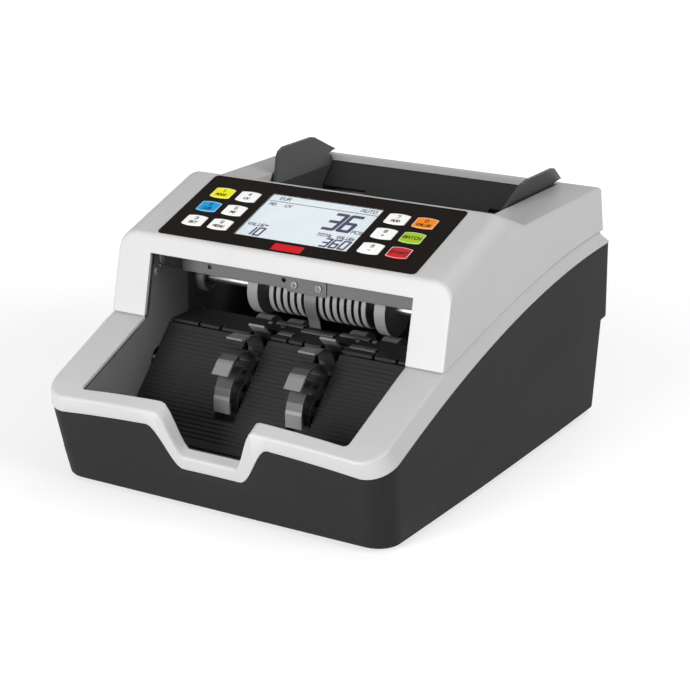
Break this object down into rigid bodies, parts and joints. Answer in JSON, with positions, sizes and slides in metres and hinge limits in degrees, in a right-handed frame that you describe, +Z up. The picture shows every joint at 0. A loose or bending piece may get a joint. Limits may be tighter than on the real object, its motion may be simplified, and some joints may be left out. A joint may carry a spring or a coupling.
{
  "type": "banknote counter",
  "caption": "Desktop banknote counter with a rear hopper and sliding note guides, a sloping keypad console with a display, and a front stacker tray with a finger notch.",
  "frame": {"origin": "centre of the bounding box, on the ground under the rubber feet", "axes": "+X to the machine's right as seen from the tray, +Y to the back, +Z up"},
  "size_m": [0.256, 0.318, 0.178],
  "materials": {
    "tub": "fine matte grain",
    "cover": "satin",
    "keypad": "satin film",
    "window": "clear",
    "module": "satin",
    "board": "satin",
    "key_white": "satin",
    "key_yellow": "satin",
    "key_blue": "satin",
    "key_orange": "satin",
    "key_green": "satin",
    "key_red": "satin",
    "inner": "matte grain",
    "plate": "satin",
    "steel": "brushed",
    "casing": "satin",
    "rubber": "matte",
    "roller": "matte",
    "pulley": "satin",
    "bearing": "satin",
    "socket": "satin"
  },
  "bodies": {
    "chassis": {"base_shell": "tub", "surround": "cover", "hood": "cover", "rear_panel": "tub", "feet": "rubber", "chassis_plate": "steel", "control_panel": "keypad", "lcd_window": "window", "lcd_module": "module", "panel_board": "board", "stacker_tray": "inner", "ramp": "inner", "comb_plate": "inner", "side_frame_left": "plate", "side_frame_right": "plate", "cross_beam": "plate", "sensor_heads": "inner", "screws": "steel", "shaft_bushes": "bearing", "hopper_bed": "inner", "hopper_front": "inner", "guide_rail": "steel", "main_motor": "casing", "drive_belt": "rubber", "side_belts": "rubber", "main_board": "board", "power_supply": "casing", "power_inlet": "socket", "display_socket": "socket"},
    "key_1": {"key_1": "key_yellow"},
    "key_2": {"key_2": "key_blue"},
    "key_3": {"key_3": "key_white"},
    "key_4": {"key_4": "key_white"},
    "key_5": {"key_5": "key_white"},
    "key_6": {"key_6": "key_white"},
    "key_7": {"key_7": "key_white"},
    "key_8": {"key_8": "key_white"},
    "key_9": {"key_9": "key_white"},
    "key_0": {"key_0": "key_orange"},
    "key_green": {"key_green": "key_green"},
    "key_red": {"key_red": "key_red"},
    "transport": {"transport_shaft": "steel", "flat_rollers": "roller", "ring_rollers": "rubber", "transport_gear": "pulley"},
    "drive": {"drive_shaft": "steel", "drive_rollers": "rubber", "drive_pulleys": "pulley"},
    "stacker": {"stacker_shaft": "steel", "stacker_wheel_left": "inner", "stacker_wheel_right": "inner", "stacker_pulley": "pulley"},
    "feed": {"feed_shaft": "steel", "feed_rollers": "rubber", "feed_pulley": "pulley"},
    "left_guide": {"guide_left": "inner"},
    "right_guide": {"guide_right": "inner"},
    "pinion": {"guide_pinion": "pulley"},
    "rotor": {"motor_pulley": "pulley"},
    "switch_rocker": {"power_switch": "socket"}
  },
  "joints": [
    {"name": "key_1_press", "type": "slide", "parent": "chassis", "child": "key_1", "axis": [0, 0.3239, -0.9461], "range_m": [0, 0.0005], "stiffness_N_per_m": 300},
    {"name": "key_2_press", "type": "slide", "parent": "chassis", "child": "key_2", "axis": [0, 0.3239, -0.9461], "range_m": [0, 0.0005], "stiffness_N_per_m": 300},
    {"name": "key_3_press", "type": "slide", "parent": "chassis", "child": "key_3", "axis": [0, 0.3239, -0.9461], "range_m": [0, 0.0005], "stiffness_N_per_m": 300},
    {"name": "key_4_press", "type": "slide", "parent": "chassis", "child": "key_4", "axis": [0, 0.3239, -0.9461], "range_m": [0, 0.0005], "stiffness_N_per_m": 300},
    {"name": "key_5_press", "type": "slide", "parent": "chassis", "child": "key_5", "axis": [0, 0.3239, -0.9461], "range_m": [0, 0.0005], "stiffness_N_per_m": 300},
    {"name": "key_6_press", "type": "slide", "parent": "chassis", "child": "key_6", "axis": [0, 0.3239, -0.9461], "range_m": [0, 0.0005], "stiffness_N_per_m": 300},
    {"name": "key_7_press", "type": "slide", "parent": "chassis", "child": "key_7", "axis": [0, 0.3239, -0.9461], "range_m": [0, 0.0005], "stiffness_N_per_m": 300},
    {"name": "key_8_press", "type": "slide", "parent": "chassis", "child": "key_8", "axis": [0, 0.3239, -0.9461], "range_m": [0, 0.0005], "stiffness_N_per_m": 300},
    {"name": "key_9_press", "type": "slide", "parent": "chassis", "child": "key_9", "axis": [0, 0.3239, -0.9461], "range_m": [0, 0.0005], "stiffness_N_per_m": 300},
    {"name": "key_0_press", "type": "slide", "parent": "chassis", "child": "key_0", "axis": [0, 0.3239, -0.9461], "range_m": [0, 0.0005], "stiffness_N_per_m": 300},
    {"name": "key_green_press", "type": "slide", "parent": "chassis", "child": "key_green", "axis": [0, 0.3239, -0.9461], "range_m": [0, 0.0005], "stiffness_N_per_m": 300},
    {"name": "key_red_press", "type": "slide", "parent": "chassis", "child": "key_red", "axis": [0, 0.3239, -0.9461], "range_m": [0, 0.0005], "stiffness_N_per_m": 300},
    {"name": "drive_spin", "type": "hinge", "parent": "chassis", "child": "drive", "pos_m": [0, -0.011, 0.076], "axis": [1, 0, 0], "continuous": true},
    {"name": "transport_spin", "type": "hinge", "parent": "chassis", "child": "transport", "pos_m": [0, -0.011, 0.1065], "axis": [1, 0, 0], "continuous": true},
    {"name": "stacker_spin", "type": "hinge", "parent": "chassis", "child": "stacker", "pos_m": [0, -0.067, 0.063], "axis": [1, 0, 0], "continuous": true},
    {"name": "feed_spin", "type": "hinge", "parent": "chassis", "child": "feed", "pos_m": [0, 0.03373, 0.107], "axis": [1, 0, 0], "continuous": true},
    {"name": "motor_spin", "type": "hinge", "parent": "chassis", "child": "rotor", "pos_m": [0, 0.039, 0.048], "axis": [1, 0, 0], "continuous": true},
    {"name": "right_guide_slide", "type": "slide", "parent": "chassis", "child": "right_guide", "axis": [1, 0, 0], "range_m": [-0.028, 0.001]},
    {"name": "left_guide_slide", "type": "slide", "parent": "chassis", "child": "left_guide", "axis": [1, 0, 0], "range_m": [-0.001, 0.028]},
    {"name": "pinion_turn", "type": "hinge", "parent": "chassis", "child": "pinion", "pos_m": [0, 0.116, 0.119], "axis": [0, 1, 0], "range_deg": [-8, 202]},
    {"name": "switch_throw", "type": "hinge", "parent": "chassis", "child": "switch_rocker", "pos_m": [0.0485, 0.14932, 0.03219], "axis": [1, 0, 0], "range_deg": [-16, 0]}
  ],
  "couplings": [
    {"joint": "transport_spin", "follows": "drive_spin", "ratio": -1},
    {"joint": "stacker_spin", "follows": "drive_spin", "ratio": 0.5},
    {"joint": "feed_spin", "follows": "drive_spin", "ratio": 1},
    {"joint": "motor_spin", "follows": "drive_spin", "ratio": 2},
    {"joint": "left_guide_slide", "follows": "right_guide_slide", "ratio": -1},
    {"joint": "pinion_turn", "follows": "right_guide_slide", "rad_per_m": -125}
  ]
}
